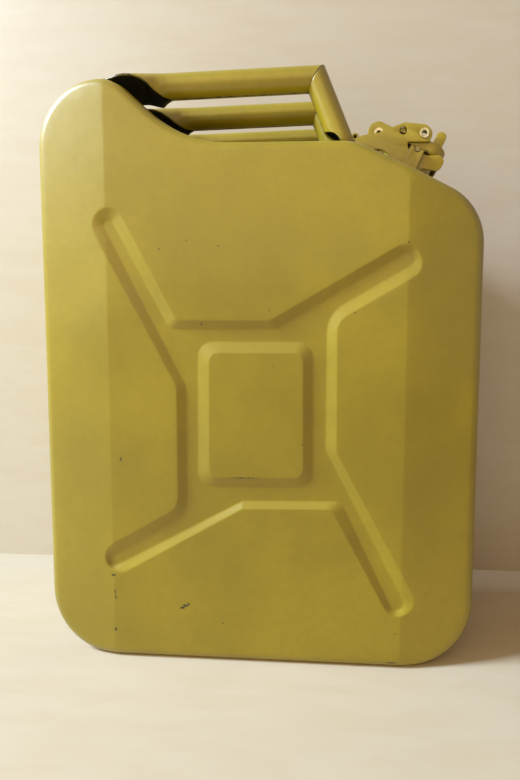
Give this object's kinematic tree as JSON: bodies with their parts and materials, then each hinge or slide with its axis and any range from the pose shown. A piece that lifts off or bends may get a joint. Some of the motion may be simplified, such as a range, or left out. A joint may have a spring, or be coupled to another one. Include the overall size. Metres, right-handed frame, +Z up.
{
  "type": "jerry can",
  "caption": "Pressed-steel fuel can with carrying handles, cross-pressed sides and a hinged cap closed by a cam lever.",
  "frame": {"origin": "middle of the base, where the can stands", "axes": "+X towards the closure along the can's width, +Y to the back through its thickness, +Z up"},
  "size_m": [0.345, 0.165, 0.4686],
  "materials": {
    "body_paint": "gloss yellow-olive paint",
    "closure_paint": "gloss yellow-olive paint",
    "steel": "bare rolled steel",
    "zinc": "dull plated steel",
    "seal": "matte black"
  },
  "bodies": {
    "can": {"front_shell": "body_paint", "rear_shell": "body_paint", "front_grip": "body_paint", "middle_grip": "body_paint", "rear_grip": "body_paint", "front_strut": "body_paint", "middle_strut": "body_paint", "rear_strut": "body_paint", "neck_tube": "body_paint", "neck_bracket": "body_paint", "front_stud": "steel", "rear_stud": "steel", "hinge_pin": "zinc", "breather_tube": "steel"},
    "lid": {"lid_hood": "closure_paint", "lid_gasket": "seal", "seal_disc": "steel", "cap_rivet": "zinc", "front_pivot_rivet": "zinc", "rear_pivot_rivet": "zinc"},
    "lever": {"cam_lever": "closure_paint", "front_cam": "steel", "rear_cam": "steel"}
  },
  "joints": [
    {"name": "lid_hinge", "type": "hinge", "parent": "can", "child": "lid", "pos_m": [0.09478, 0, 0.43094], "axis": [0, -1, 0], "range_deg": [0, 95]},
    {"name": "lever_pivot", "type": "hinge", "parent": "lid", "child": "lever", "pos_m": [0.13226, 0, 0.42931], "axis": [0, 1, 0], "range_deg": [0, 118.75]}
  ],
  "couplings": [
    {"joint": "lever_pivot", "follows": "lid_hinge", "ratio": 1.25}
  ]
}
